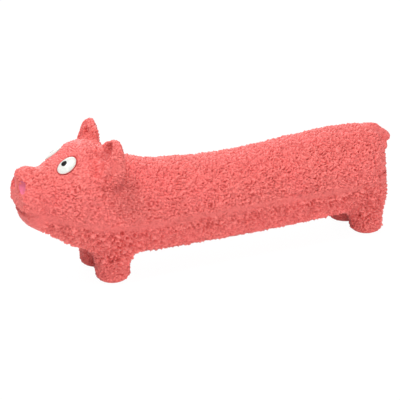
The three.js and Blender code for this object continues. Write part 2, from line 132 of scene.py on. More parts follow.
def along(start, length, low, high, shares):
    """Outline points from rows of (share of a length, share of the way from low to high)."""
    return [(start + at * length, low + share * (high - low)) for at, share in shares]


ridge_points = [
    *along(nose_x, snout_length, snout_top, snout_top + snout_height, [(0, -0.06), (0.4, 0.04), (0.75, 0)]),
    *along(nose_x, head_length, snout_top, crown_height, [
        (0.24, -0.1), (0.34, 0.2), (0.44, 0.56), (0.55, 0.94), (0.66, 1), (0.8, 0.68), (0.94, 0.1)]),
    *along(neck_x, body_length, back_height, rump_height, [
        (0.1, 1.05), (0.2, 0.5), (0.34, 0), (0.5, 0.12), (0.66, 0.62), (0.8, 1), (0.92, 0.9), (1, 0.6)]),
]
keel_points = [
    *along(nose_x, snout_length, snout_bottom, chin_height, [
        (0, 0), (0.04, 0.14), (0.1, 0.33), (0.167, 0.47), (0.225, 0.55), (0.317, 0.65), (0.45, 0.76),
        (0.71, 0.92)]),
    *along(nose_x, head_length, chin_height, belly_height, [
        (0.24, 0.09), (0.34, 0.26), (0.44, 0.44), (0.56, 0.57), (0.7, 0.66), (0.86, 0.8)]),
    *along(neck_x, body_length, equator_height, belly_height, [
        (0.04, 0.93), (0.16, 0.98), (0.34, 1), (0.52, 1), (0.7, 0.97), (0.86, 0.9), (1, 0.82)]),
]
flank_points = [
    *along(nose_x, snout_length, 0, snout_width / 2, [(0, 0.99), (0.45, 1), (0.85, 0.96)]),
    *along(nose_x, head_length, 0, head_width / 2, [
        (0.26, 0.58), (0.34, 0.74), (0.42, 0.87), (0.52, 0.96), (0.66, 1), (0.84, 1)]),
    *along(neck_x, body_length, 0, body_width / 2, [
        (0.06, 1.01), (0.25, 0.985), (0.45, 0.98), (0.65, 1), (0.85, 1.02), (1, 1)]),
]
equator_points = [
    (nose_x, snout_widest_height),
    *along(nose_x, head_length, snout_widest_height, equator_height, [
        (0.26, 0), (0.42, 0.32), (0.62, 0.63), (0.86, 0.9)]),
    (neck_x, equator_height),
    (rump_x, equator_height),
]


class Outline:
    """A smooth curve through points, read at any x by calling it."""

    def __init__(self, points):
        self.x, self.y = np.array(points, float).T
        slopes = np.diff(self.y) / np.diff(self.x)
        inner = (self.y[2:] - self.y[:-2]) / (self.x[2:] - self.x[:-2])
        self.tangent = np.concatenate([slopes[:1], inner, slopes[-1:]])

    def __call__(self, x):
        k = np.clip(np.searchsorted(self.x, x) - 1, 0, len(self.x) - 2)
        span = self.x[k + 1] - self.x[k]
        t = np.clip((x - self.x[k]) / span, 0, 1)
        ease = fade(0, 1, t)
        pull = t * (1 - t) * ((1 - t) * self.tangent[k] - t * self.tangent[k + 1])
        return self.y[k] * (1 - ease) + self.y[k + 1] * ease + span * pull


ridge, keel, flank, equator = map(Outline, (ridge_points, keel_points, flank_points, equator_points))
print("back at mid-body", round(float(ridge(20.0)), 1), "mm, belly", round(float(keel(20.0)), 1), "mm")

# %% [markdown]
# A slice across the trunk is a super-ellipse, a touch squarer than an ellipse. Its upper and lower halves
# have their own heights. The two ends are rounded by drawing the slices in, as a turned edge does. Below the
# snout's widest line they draw in over a longer way, which gives the soft jaw.

# %% The trunk's field
body_squareness = 2.3
snout_more_above, snout_more_below = -0.45, 0.7
pear_ends = (nose_x + 5, nose_x + 17)
snout_rim_radius, jaw_radius, rump_radius, rump_side_radius = 3.4, 10, 9, 18
jaw_below_widest = (1.8, 5)


def squareness(x, rise):
    """How square a slice is. The snout's are pointed above and square below, like a pear."""
    at_snout = 1 - fade(*pear_ends, x)
    return body_squareness + at_snout * np.where(rise > 0, snout_more_above, snout_more_below)


def draw_in(radius, distance):
    """How far a rounded edge of that radius draws in, at a distance from the end."""
    short = np.clip(radius - distance, 0, radius)
    return radius - np.sqrt(radius * radius - short * short)


def trunk(x, y, z):
    inside = np.clip(x, nose_x, rump_x)
    middle = equator(inside)
    nose_inset = draw_in(snout_rim_radius, inside - nose_x)
    inset = nose_inset + draw_in(rump_radius, rump_x - inside)
    rise = z - middle
    tall = np.where(rise > 0, ridge(inside) - middle, middle - keel(inside)) - inset
    jaw = fade(*jaw_below_widest, middle - z)
    front_inset = nose_inset + jaw * (draw_in(jaw_radius, inside - nose_x) - nose_inset)
    wide = flank(inside) - front_inset - draw_in(rump_side_radius, rump_x - inside)
    power = squareness(inside, rise)
    share = (np.abs(y / wide) ** power + np.abs(rise / tall) ** power) ** (1 / power)
    off_slice = np.hypot(y, rise) * (1 - 1 / np.maximum(share, 1e-4))
    beyond = np.maximum(nose_x - x, x - rump_x)
    past_end = np.hypot(np.maximum(off_slice, 0), beyond)
    return np.where(beyond > 0, past_end, np.maximum(off_slice, beyond))


def skin_point(x, angle):
    """A point on the trunk at x, at an angle about its widest line, with 90 degrees at the top."""
    middle = float(equator(x))
    tall = float(ridge(x)) - middle
    out, up = math.cos(angle) ** (2 / body_squareness), math.sin(angle) ** (2 / body_squareness)
    return np.array((x, float(flank(x)) * out, middle + tall * up))


print("top of the head", skin_point(nose_x + 0.66 * head_length, math.pi / 2).round(1))

# %% [markdown]
# ## Legs
# Four stubs with flat soles and soft edges. Each is a post whose radius follows its own little outline, so
# that it swells into the belly. The melt gives the fold of latex between leg and belly, and on the
# hind legs it carries the line of the rump straight down to the foot. The right hind foot stands a little
# forward and in, as in the photograph: a soft toy never stands quite square.

# %% Leg field
front_leg_x, rear_leg_x, half_track = -61.4, 87.2, 10.8
sole_rounding, leg_fillet = 4.2, 8
leg_radius = Outline([(0, 8.6), (6, 8.7), (14, 9.0), (20, 9.3), (25, 8.7), (30, 7.0)])
rear_right_forward, rear_right_inward = 2.5, 1.8
leg_places = [
    (front_leg_x, -half_track), (front_leg_x, half_track), (rear_leg_x, -half_track),
    (rear_leg_x - rear_right_forward, half_track - rear_right_inward)]


def post(x, y, z, place):
    """A leg's field. The sole is its flat end at height 0, with a rounded edge."""
    round_off = np.hypot(x - place[0], y - place[1]) - leg_radius(z)
    r = sole_rounding
    corner = np.hypot(np.maximum(round_off + r, 0), np.maximum(r - z, 0))
    sides = np.minimum(np.maximum(round_off, -z), -r) + corner
    return np.maximum(sides, z - equator_height)


def add_legs(field, x, y, z):
    for place in leg_places:
        field = melt(field, post(x, y, z, place), leg_fillet)
    return field


print("legs at", [(round(x, 1), round(y, 1)) for x, y in leg_places])

# %% [markdown]
# The ears' rims, the tail and the mouth all come from one tool: a tube along a path, thicker in one place
# and thinner in another. Its field is the distance to the path, less the radius there.

# %% Tubes along a path
def tube(x, y, z, path, radii):
    """The field of a round tube through the points of a path, with its own radius at each."""
    points = np.stack([x, y, z], -1)
    nearest = np.full(x.shape, 1e3)
    for a, b, r0, r1 in zip(path[:-1], path[1:], radii[:-1], radii[1:]):
        step = b - a
        t = np.clip((points - a) @ step / (step @ step), 0, 1)
        off = np.linalg.norm(points - a - t[..., None] * step, axis=-1)
        nearest = np.minimum(nearest, off - (r0 + (r1 - r0) * t))
    return nearest

# %% [markdown]
# ## Ears
# Each ear is a thick pointed flap on the upper corner of the head, hollow on the side that faces forward,
# like half of a shell. The flap is an egg-shaped field that is stretched along the ear's own directions,
# up and out. A rolled rim runs round its edge, from the top of the head over the tip and down to the cheek,
# and the hollow inside the rim is an oval scoop. The right ear leans a little further in and back than the
# left one, and its hollow is shallower.

# %% Ear flap
ear_place_x, ear_place_angle = nose_x + 0.838 * head_length, math.radians(50)
ear_root = skin_point(ear_place_x, ear_place_angle)
ear_height, ear_width, ear_depth = 22.2, 22.4, 11
ear_root_share, ear_point = 0.26, 2.2
ear_rise, ear_across = (0, 0.468, 0.884), (0, 0.777, -0.629)
ear_curl, ear_slant = 3.2, 3.6


def ear_directions(x, y, z):
    """Millimetres outwards across the ear, up it, and back from its middle, which leans back as it rises."""
    off_y, off_z = y - ear_root[1], z - ear_root[2]
    area = ear_across[1] * ear_rise[2] - ear_rise[1] * ear_across[2]
    across = (off_y * ear_rise[2] - ear_rise[1] * off_z) / area
    up = (ear_across[1] * off_z - off_y * ear_across[2]) / area
    back = x - ear_root[0] + ear_slant * (1 - up / ear_height)
    return across, up, back


def ear_flap(across, up, back):
    """An egg cut off at its foot: as wide as the ear at the root, and pointed at the tip."""
    share = np.maximum(up / ear_height + ear_root_share, 0)
    across = across - ear_curl * (share - share * share)
    half_width, half_depth = ear_width / 2, ear_depth / 2
    reach = np.sqrt(share ** ear_point + (across / half_width) ** 2 + (back / half_depth) ** 2)
    lift = share ** (ear_point - 1) * ear_point / 2 / ear_height
    steep = np.sqrt((across / half_width ** 2) ** 2 + (back / half_depth ** 2) ** 2 + lift ** 2)
    return (reach - 1) * reach / np.maximum(steep, 1e-3)


print("ear root at", ear_root.round(1))

# %% Ear hollow and rim
cup_middle = (-66.0, 15.4, 71.8)
cup_half = (4.8, 5.4, 5.0)


def oval(off, half, scale):
    """An egg's field, from the way off its middle in its own three directions."""
    reach = np.sqrt(sum((way / length) ** 2 for way, length in zip(off, half)))
    return (reach - 1) * scale


def ear_cup(x, y, z):
    """The hollow: an oval scoop out of the upper front of the flap."""
    return oval([value - middle for value, middle in zip((x, y, z), cup_middle)], cup_half, min(cup_half))


rim_path = np.array([
    (-63.8, 4.5, 66.5), (-62.2, 7.8, 70.8), (-61.2, 13.0, 73.8), (-61.0, 18.0, 75.6), (-61.6, 21.6, 74.8),
    (-62.8, 22.9, 72.0), (-64.6, 21.8, 68.5), (-66.6, 20.9, 65.2), (-68.6, 20.2, 61.5), (-70.2, 20.2, 58.0)])
rim_radii = (1.4, 1.8, 1.8, 1.6, 1.6, 1.8, 1.9, 1.8, 1.6, 1.2)
ear_fillet, cup_edge, rim_fillet = 3.0, 1.0, 1.6
right_lean, right_back, right_shallow = 1.8, 0.7, 2.0
lean_starts, lean_full = 10, 22


def add_ears(field, x, y, z):
    right = y > 0
    y = np.abs(y)
    x, y = x - right_back * right, y + right_lean * right * fade(lean_starts, lean_full, y)
    flap = ear_flap(*ear_directions(x, y, z))
    flap = melt(flap, tube(x, y, z, rim_path, rim_radii), rim_fillet)
    return carve(melt(field, flap, ear_fillet), ear_cup(x, y, z) + right_shallow * right, cup_edge)


print("ear rim:", len(rim_path), "points, tip at", rim_path[:, 2].max(), "mm")

# %% [markdown]
# ## Tail
# The tail starts as a low ridge on top of the rump, goes over its corner and curls once behind it, pressed
# flat against the skin. It is a tube on a path that gets thinner towards the tip.

# %% Tail field
tail_start_x, tail_over_length = rump_x - 13.6, 12.4
tail_radius, tail_thick, tail_thins = 2.8, 1.2, 0.6
tail_sunk, tail_proud = -1.6, 0.3
tail_curl_radius, tail_turns, tail_tightens = 3.2, 1.1, 0.45
tail_back_x, tail_comes_in, tail_curl_height = 103.5, 3.0, 45.0
over_points, curl_points = 7, 25
tail_fillet = 2.2


def tail_path():
    """Points along the tail, with the tube's radius at each."""
    over_x = np.linspace(tail_start_x, tail_start_x + tail_over_length, over_points)
    over = np.stack([over_x, 0 * over_x, ridge(over_x) - draw_in(rump_radius, rump_x - over_x)], 1)
    over[:, 2] += tail_radius * np.linspace(tail_sunk, tail_proud, over_points)
    t = np.linspace(0, 1, curl_points)
    angle = math.pi / 2 - t * tail_turns * 2 * math.pi
    radius = tail_curl_radius * (1 - tail_tightens * t)
    curl = np.stack([tail_back_x - tail_comes_in * t, radius * np.cos(angle),
                     tail_curl_height + radius * np.sin(angle)], 1)
    path = np.concatenate([over, curl])
    thick = tail_radius * (tail_thick - tail_thins * np.linspace(0, 1, len(path)))
    return path, thick


def add_tail(field, x, y, z):
    return melt(field, tube(x, y, z, *tail_path()), tail_fillet)


print("tail:", (2 * tail_path()[1][[0, -1]]).round(1), "mm thick at its ends")

# %% [markdown]
# ## Snout
# Two oval nostrils are pressed into the flat face of the snout, turned a little outwards. Under it runs the
# mouth, a soft groove from the middle of the snout's lower edge back along each cheek.

# %% Nostril and mouth fields
nostril_place = Vector((nose_x + 0.2, 5.7, 55.2))
nostril_half = Vector((2.1, 3.2, 4.1))
nostril_turn = math.radians(22)
nostril_rim = 1.4


def add_nostrils(field, x, y, z):
    off_x, off_y = x - nostril_place.x, np.abs(y) - nostril_place.y
    cos, sin = math.cos(nostril_turn), math.sin(nostril_turn)
    off = (off_x * cos - off_y * sin, off_y * cos + off_x * sin, z - nostril_place.z)
    return carve(field, oval(off, nostril_half, nostril_half.y), nostril_rim)


mouth_height, mouth_rim = 41.8, 2.0
mouth_shares = np.array([0.04, 0.08, 0.15, 0.24, 0.34, 0.44])
mouth_radii = (0.3, 0.6, 0.9, 0.8, 0.4, 0.1)


def mouth_path():
    """Points along the left half of the mouth, on the skin."""
    x = nose_x + mouth_shares * snout_length
    z = np.full(len(x), mouth_height)
    middle = equator(x)
    low = np.clip((middle - z) / (middle - keel(x)), 0, 1)
    power = squareness(x, -1.0)
    y = flank(x) * (1 - low ** power) ** (1 / power)
    y[0] = 0
    return np.stack([x, y, z], 1)


def add_mouth(field, x, y, z):
    return carve(field, tube(x, np.abs(y), z, mouth_path(), mouth_radii), mouth_rim)


print("mouth runs back to", mouth_path()[-1].round(1))

# %% [markdown]
# ## Seat of the squeaker
# The squeaker is pushed into a hole in the belly, and its flange lies in a shallow round seat. The seat is
# carved from the skin. Its hole is hidden by the flange, so it stops at the seat's floor.

# %% Seat field
squeaker_x = (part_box("squeaker_body")[0].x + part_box("squeaker_body")[1].x) / 2 / MM
keel_here = float(keel(squeaker_x))
seat_radius, seat_depth, seat_edge = 8.3, 1.5, 0.5


def add_seat(field, x, y, z):
    round_off = np.hypot(x - squeaker_x, y) - seat_radius
    return carve(field, np.maximum(round_off, z - keel_here - seat_depth), seat_edge)


print("squeaker at", round(squeaker_x, 1), "mm, under the belly at", round(keel_here, 1), "mm")

# %% [markdown]
# Each detail only matters near its own place, so the whole field works out the trunk everywhere, and each
# detail in a box round it. That makes it fast enough to be read at millions of points.

# %% The whole field
details = [
    (add_legs, (-85, -30, -5), (108, 30, 34)),
    (add_ears, (-76, -32, 38), (-50, 32, 82)),
    (add_tail, (80, -9, 34), (112, 9, 64)),
    (add_nostrils, (-111, -12, 48), (-101, 12, 62)),
    (add_mouth, (-111, -22, 30), (-86, 22, 46)),
    (add_seat, (squeaker_x - 11, -11, 4), (squeaker_x + 11, 11, 14)),
]


def skin_field(x, y, z):
    field = trunk(x, y, z)
    x, y, z = np.broadcast_arrays(x, y, z)
    for add_detail, low, high in details:
        near = (x > low[0]) & (x < high[0]) & (y > low[1]) & (y < high[1]) & (z > low[2]) & (z < high[2])
        if near.any():
            field[near] = add_detail(field[near], x[near], y[near], z[near])
    return field


print("details:", [add_detail.__name__ for add_detail, _, _ in details])

# %% [markdown]
# ## From field to mesh
# Surface nets: space is cut into small cubes, and every cube that the skin passes through gets one vertex,
# at the mean of the places where its edges cross zero. Where an edge crosses, the four cubes round it share
# a quad. That gives an even mesh all over the toy, which is what the crinkles need. Blender's voxel remesh
# does much the same, but has to start from a mesh, and would blur the ears' thin rims. At the end each
# vertex slides down the field's slope until it lies on the skin.

# %% Reading the field on a grid
def sample(field_at, low, high, step, slices=8):
    """The field at every corner of a grid of cubes, worked out a few slices at a time."""
    axes = [np.arange(a, b + step, step) for a, b in zip(low, high)]
    grid = np.empty([len(axis) for axis in axes], np.float32)
    for k in range(0, len(axes[0]), slices):
        x = axes[0][k:k + slices, None, None]
        grid[k:k + slices] = field_at(x, axes[1][None, :, None], axes[2][None, None, :])
    return grid

# %% Surface nets
def surface_nets(grid, low, step):
    """(points, quads) of the surface where the grid's values cross zero, with quads facing outwards."""
    cells = [n - 1 for n in grid.shape]
    crossings, rings = [], []
    for axis in range(3):
        first = [slice(None)] * 3
        second = [slice(None)] * 3
        first[axis], second[axis] = slice(None, -1), slice(1, None)
        before, after = grid[tuple(first)], grid[tuple(second)]
        crossed = (before < 0) != (after < 0)
        at = np.argwhere(crossed)
        start, end = before[crossed], after[crossed]
        point = at.astype(float)
        point[:, axis] += start / (start - end)
        u, v = (axis + 1) % 3, (axis + 2) % 3
        ring = []
        for back_u, back_v in ((0, 0), (1, 0), (1, 1), (0, 1)):
            cell = at.copy()
            cell[:, u] -= back_u
            cell[:, v] -= back_v
            ring.append(np.ravel_multi_index(cell.T, cells))
        ring = np.stack(ring, 1)
        ring[start > 0] = ring[start > 0, ::-1]
        crossings.append(np.repeat(point, 4, axis=0))
        rings.append(ring)
    ring = np.concatenate(rings)
    point = np.concatenate(crossings)
    used, number = np.unique(ring, return_inverse=True)
    number = number.reshape(-1)
    shared = np.bincount(number)
    mean = np.stack([np.bincount(number, point[:, k]) / shared for k in range(3)], 1)
    return np.array(low) + mean * step, number.reshape(-1, 4)

# %% Settling points on the skin
def slope(field_at, points, probe=0.05):
    """The field and its direction of steepest rise at each point."""
    x, y, z = points.T
    here = field_at(x, y, z)
    rise = np.stack([
        field_at(x + probe, y, z) - here,
        field_at(x, y + probe, z) - here,
        field_at(x, y, z + probe) - here,
    ], 1) / probe
    return here, rise


def settle(field_at, points, rounds=2, longest=0.3):
    """Moves points onto the surface, and gives the direction that it faces at each."""
    for _ in range(rounds):
        here, rise = slope(field_at, points)
        steep = np.maximum((rise ** 2).sum(1), 0.1)
        move = -here[:, None] * rise / steep[:, None]
        length = np.linalg.norm(move, axis=1, keepdims=True)
        points = points + move * np.minimum(1, longest / np.maximum(length, 1e-9))
    _, rise = slope(field_at, points)
    return points, rise / np.maximum(np.linalg.norm(rise, axis=1, keepdims=True), 1e-9)

# %% The skin, still smooth
skin_step = 0.35
skin_low, skin_high = (-109.5, -30, -1.4), (110, 30, 81)
skin_grid = sample(skin_field, skin_low, skin_high, skin_step)
skin_points, skin_quads = surface_nets(skin_grid, skin_low, skin_step)
skin_points, skin_facing = settle(skin_field, skin_points)
print("skin:", len(skin_points), "points,", len(skin_quads), "quads")

# %% [markdown]
# ## Where the eyes are
# The eyes get their places before the crinkles are made, because the skin is plain under them and sinks a
# little round their rim. Each has a place on the brow, and two directions in the skin there: along the eye,
# tilted down towards the snout, and across it.

# %% Eye places
eye_x, eye_angle, eye_tilt = nose_x + 0.415 * head_length, math.radians(64), math.radians(16)
eye_half_long, eye_half_wide, eye_proud, eye_film = 5.4, 3.8, 1.1, 0.02


def unit(vector):
    return vector / np.linalg.norm(vector)


def turned_about(vector, axis, angle):
    """vector turned about a unit axis."""
    return (vector * math.cos(angle) + np.cross(axis, vector) * math.sin(angle)
            + axis * (axis @ vector) * (1 - math.cos(angle)))


eye_place = skin_point(eye_x, eye_angle)
near_x, near_angle = 0.3, 0.07
skin_along = unit(skin_point(eye_x + near_x, eye_angle) - skin_point(eye_x - near_x, eye_angle))
skin_round = skin_point(eye_x, eye_angle + near_angle) - skin_point(eye_x, eye_angle - near_angle)
eye_normal = unit(np.cross(skin_along, skin_round))
eye_along = turned_about(skin_along, eye_normal, eye_tilt)
eye_axes = (eye_along, np.cross(eye_normal, eye_along))


def dome(along_it, across_it, half_long, half_wide, proud, film):
    """The thickness of an oval dome of paint, which ends at its rim in a thin film."""
    share = (along_it / half_long) ** 2 + (across_it / half_wide) ** 2
    return proud * np.sqrt(np.clip(1 - share, 0, 1)) + film


def eye_height(along_eye, across_eye):
    return dome(along_eye, across_eye, eye_half_long, eye_half_wide, eye_proud, eye_film)


def eye_reach(points):
    """0 at the middle of the eye on that side and 1 at its rim. Far from the eye's own skin it is large."""
    off = np.stack([points[:, 0], np.abs(points[:, 1]), points[:, 2]], 1) - eye_place
    reach = np.hypot(off @ eye_axes[0] / eye_half_long, off @ eye_axes[1] / eye_half_wide)
    return np.where(np.abs(off @ eye_normal) < 4, reach, 9)


print("eye at", eye_place.round(1), "facing", eye_normal.round(2))

# %% [markdown]
# ## Crinkles
# The mould's inside is rough, so the whole toy is covered in small curled lumps, 1 to 2 mm across, with
# fine dark creases between them. They are real relief, so they are put into the mesh: every vertex moves
# along the direction the skin faces.
#
# The mould leaves some places plain: a band along its parting line on each flank, the lobes of the ears, the
# chin, the nostrils, the skin under the eyes, and the soles. The snout's flat face is a little plainer too.

# %% Plain places
ear_lobe_place, lobe_radius, nostril_radius = (-63.5, 23.0, 65.5), 4.5, 3.8
sole_heights, chin_heights, disc_heights = (0.6, 2.0), (38, 43), (44, 48)
band_plain, chin_plain, lobe_plain, disc_plain = 0.62, 0.8, 0.6, 0.3
band_heights = Outline([
    (-104, 42), (-90, 37.8), (-80, 36), (-70, 33.6), (-55, 30.8), (-35, 29.8), (20, 30), (60, 29.6),
    (101, 30.5)])
band_half = 1.6


def off_band(points):
    """How far above the parting line each point is, in millimetres."""
    return points[:, 2] - band_heights(points[:, 0])


def near_place(points, place, radius):
    """1 at a place on either side of the toy, and 0 from a radius away."""
    off = points - np.array(place)
    mirrored = np.stack([points[:, 0], -points[:, 1], points[:, 2]], 1) - np.array(place)
    far = np.minimum(np.linalg.norm(off, axis=1), np.linalg.norm(mirrored, axis=1))
    return 1 - fade(radius * 0.55, radius, far)


def plainness(points, facing):
    """1 where the skin has no crinkles and 0 where they have their full height."""
    band = 1 - fade(band_half * 0.3, band_half * 1.9, np.abs(off_band(points)))
    band = band * fade(0.25, 0.6, np.abs(facing[:, 1])) * (1 - fade(60, 90, points[:, 0]) * 0.5)
    x, z = points[:, 0], points[:, 2]
    sole = 1 - fade(*sole_heights, z)
    nostril = near_place(points, nostril_place, nostril_radius)
    eye = 1 - fade(1.0, 1.2, eye_reach(points))
    lobe = near_place(points, ear_lobe_place, lobe_radius)
    disc = fade(0.75, 0.95, -facing[:, 0]) * (1 - fade(nose_x + 2, nose_x + 4, x)) * fade(*disc_heights, z)
    chin = (1 - fade(nose_x + 6, nose_x + 15, x)) * (1 - fade(*chin_heights, z))
    return np.maximum.reduce([
        sole, nostril, eye, chin * chin_plain, band * band_plain, lobe * lobe_plain, disc * disc_plain])


skin_plain = plainness(skin_points, skin_facing)
print("plain skin:", round(float((skin_plain > 0.5).mean()) * 100), "% of the points")

# %% [markdown]
# Four noises add up to the relief, most of them bent by a slower one, so that nothing runs straight. One
# makes the lumps. One is folded at zero, which gives raised lines that wander and close on themselves. A
# fine grain breaks both up, and a coarse one makes the bigger curls under the belly.

# %% The crinkles themselves
ridge_size, ridge_part = 0.88, 0.82
curl_size, curl_part, curl_mean = 1.6, 0.62, 0.2
grain_size, grain_part = 0.7, 0.42
belly_curl_size, belly_part = 1.8, 0.85
bend_size, bend = 2.4, 0.9
bend_shifts, curl_shift, grain_shift, belly_shift = (11.3, 37.1, 71.9), 19.7, 5.7, 51.1
middle_relief, deepest, highest = 0.54, -0.3, 1.3
crinkle_stretch = np.array((0.8, 0.92, 1.1))


def noise_at(points, size, shift=0.0):
    """Smooth noise from about -0.7 to 0.7 at each point, whose waves are about as long as size."""
    moved = points / size + shift
    return np.fromiter((noise.noise(p) for p in moved.tolist()), float, len(moved))


def belly_share(points):
    """1 under the parting line, less behind the forelegs, and 0 above it and low on the legs."""
    share = (1 - fade(-4, 2, off_band(points))) * fade(7, 14, points[:, 2])
    return share * (1 - 0.4 * fade(-65, -30, points[:, 0]))


def crinkle(points):
    """Relief from 0 in a crease to 1 on a lump."""
    warp = np.stack([noise_at(points, bend_size, shift) for shift in bend_shifts], 1)
    warped = points + warp * bend
    ridges = noise_at(warped * crinkle_stretch, ridge_size)
    curls = np.abs(noise_at(warped * crinkle_stretch, curl_size, curl_shift))
    grain = noise_at(points, grain_size, grain_shift)
    coarse = noise_at(warped, belly_curl_size, belly_shift) * belly_share(points)
    curled = middle_relief + ridges * ridge_part + (curl_mean - curls) * curl_part
    return np.clip(curled + grain * grain_part + coarse * belly_part, deepest, highest)

# %% How tall the crinkles are
crinkle_height = 1.34
forehead_place, ear_middle_place, ear_calm_radius = (-80, 0, 68), (-63.5, 20.0, 69.0), 13
head_loss, forehead_loss, ear_loss, tail_loss, belly_gain = 0.27, 0.35, 0.45, 0.7, 0.6
wave_size, wave_mean, wave_swing, wave_shift = 14, 0.93, 0.22, 3.3


def crinkle_share(points):
    """Low on the forehead, ears and tail, and tall on the belly, with slow waves all over."""
    forehead = 1 - fade(14, 27, np.linalg.norm(points - forehead_place, axis=1))
    tail = fade(rump_x - 12, rump_x - 6, points[:, 0]) * (1 - fade(5, 8, np.abs(points[:, 1])))
    tail = tail * fade(38, 42, points[:, 2])
    head = 1 - head_loss * (1 - fade(-72, -60, points[:, 0]))
    ears = near_place(points, ear_middle_place, ear_calm_radius)
    waves = wave_mean + wave_swing * noise_at(points, wave_size, wave_shift)
    calm = head * (1 - forehead_loss * forehead) * (1 - tail_loss * tail) * (1 - ear_loss * ears)
    return calm * (1 + belly_gain * belly_share(points)) * waves

# %% [markdown]
# Some hollows get painted shade, a deeper red than their relief alone would make them, standing in for shade
# and for light bounced from latex to latex there: in and behind the ears, where the ear's shadow is painted
# on the neck, in the mouth, between the legs, round the nostrils, and in the fold round the eye paint. A
# share from 0 to 1 marks them.

# %% Painted shade in the hollows
ear_shadow_place, ear_shadow_radius, paint_shadow_radius = (-61.0, 21.3, 55.5), 6.5, 4.8
ring_reach, ring_width = 1.05, 0.07
ring_deep, behind_ear_deep, mouth_deep, cup_deep, legs_deep, nostril_deep = 0.95, 0.65, 0.6, 0.4, 0.4, 0.12
right_cup_share = 0.2


def bell(value, middle, width):
    """1 where the value is at the middle, and next to 0 from two widths away."""
    return np.exp(-((value - middle) / width) ** 2)


# The share of painted shade at each point: a painted shadow behind each ear, and painted shade in the ear
# cups, the mouth, round the nostrils, in the fold round the eyes and between the legs.
def hollow_shade(points):
    x, y, z = points[:, 0], np.abs(points[:, 1]), points[:, 2]
    cup = (1 - fade(0.0, 1.2, ear_cup(x, y, z))) * np.where(points[:, 1] > 0, right_cup_share, 1)
    behind_ear = near_place(points, ear_shadow_place, ear_shadow_radius)
    nostril = near_place(points, nostril_place, paint_shadow_radius)
    mouth = 1 - fade(0.3, 1.8, tube(x, y, z, mouth_path(), mouth_radii))
    ring = bell(eye_reach(points), ring_reach, ring_width)
    between_legs = (1 - fade(8, 14, y)) * (1 - fade(14, 20, z))
    return np.maximum.reduce([ring * ring_deep, behind_ear * behind_ear_deep, mouth * mouth_deep,
                              cup * cup_deep, between_legs * legs_deep, nostril * nostril_deep])

# %% Lifting the skin
relief_centre, plain_shade_relief = 0.6, 0.38
socket_depth, socket_reach, socket_width = 0.6, 1.07, 0.08
relief = crinkle(skin_points)
strength = crinkle_height * crinkle_share(skin_points) * (1 - skin_plain)
eye_socket = socket_depth * bell(eye_reach(skin_points), socket_reach, socket_width)
lift = (relief - relief_centre) * strength - eye_socket
skin_points = skin_points + skin_facing * lift[:, None]
# The relief that the colour shows picks the painted crease shade and lump highlight. Plain skin gets a fixed
# middle value: painted shade about as dark as the crinkled skin is on average.
painted_shade_relief = relief * (1 - skin_plain) + plain_shade_relief * skin_plain
skin_hollow_shade = hollow_shade(skin_points)
print("relief from", round(float(relief.min()), 2), "to", round(float(relief.max()), 2))

# %% [markdown]
# ## Meshes and pieces
# A mesh made from the arrays goes into Blender in metres. Its relief goes along as an attribute, so that
# painted shade can make the latex a deeper red down in the creases, and so do the shares of plain skin and
# of the painted shade in the hollows.

# %% Making a piece from points and faces
def make_piece(name, points, faces, smooth=True):
    mesh = bpy.data.meshes.new(name)
    faces = faces.tolist() if isinstance(faces, np.ndarray) else faces
    mesh.from_pydata((np.asarray(points) * MM).tolist(), [], faces)
    mesh.polygons.foreach_set("use_smooth", [smooth] * len(mesh.polygons))
    mesh.update()
    piece = bpy.data.objects.new(name, mesh)
    add_to_scene(piece)
    return piece


def set_attribute(piece, name, values):
    attribute = piece.data.attributes.new(name, "FLOAT", "POINT")
    attribute.data.foreach_set("value", np.asarray(values, np.float32))

# %% [markdown]
# The skin is hollow, about 2 mm thick. Its inside is never seen and has no crinkles, so a coarse net of the
# same field, read 2 mm further in, is enough, with its faces turned to look inwards. The fibre fills what is
# left. Both leave room for the squeaker.

# %% Inside of the skin, and the fibre
skin_wall, fibre_room = 2.2, 0.7
seat_wall_radius, seat_wall_height = 9.7, 4.0
barrel_room_radius, barrel_room_above = 7.9, 0.6
squeaker_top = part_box("fibre_guard")[1].z / MM
snout_solid_x = nose_x + 7


def plain_field(x, y, z):
    return add_legs(trunk(x, y, z), x, y, z)


def hollow_field(x, y, z, inwards=skin_wall):
    hollow = np.maximum(plain_field(x, y, z) + inwards, snout_solid_x + inwards - skin_wall - x)
    off_axis = np.hypot(x - squeaker_x, y)
    grow = inwards - skin_wall
    seat = np.maximum(off_axis - seat_wall_radius, z - keel_here - seat_wall_height) - grow
    return np.maximum(hollow, -seat)


def fibre_field(x, y, z):
    off_axis = np.hypot(x - squeaker_x, y)
    barrel = np.maximum(off_axis - barrel_room_radius, z - squeaker_top - barrel_room_above)
    return np.maximum(hollow_field(x, y, z, skin_wall + fibre_room), -barrel)


inner_step = 2.0
hollow_grid = sample(hollow_field, skin_low, skin_high, inner_step)
hollow_points, hollow_quads = surface_nets(hollow_grid, skin_low, inner_step)
fibre_grid = sample(fibre_field, skin_low, skin_high, inner_step)
fibre_points, fibre_quads = surface_nets(fibre_grid, skin_low, inner_step)
print("inside:", len(hollow_quads), "quads; fibre:", len(fibre_quads), "quads")

# %% The two pieces
all_points = np.concatenate([skin_points, hollow_points])
all_quads = np.concatenate([skin_quads, hollow_quads[:, ::-1] + len(skin_points)])
skin = make_piece("latex_skin", all_points, all_quads)
# These attributes carry the painted shade and highlight into the latex finish.
set_attribute(skin, "relief", np.concatenate([painted_shade_relief, np.full(len(hollow_points), relief_centre)]))
set_attribute(skin, "plain", np.concatenate([skin_plain, np.ones(len(hollow_points))]))
set_attribute(skin, "hollow", np.concatenate([skin_hollow_shade, np.zeros(len(hollow_points))]))
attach(skin, "toy")
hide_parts("body_skin", "head_skin", "leg_front_left", "leg_front_right", "leg_rear_left",
            "leg_rear_right", "ear_left", "ear_right", "tail")

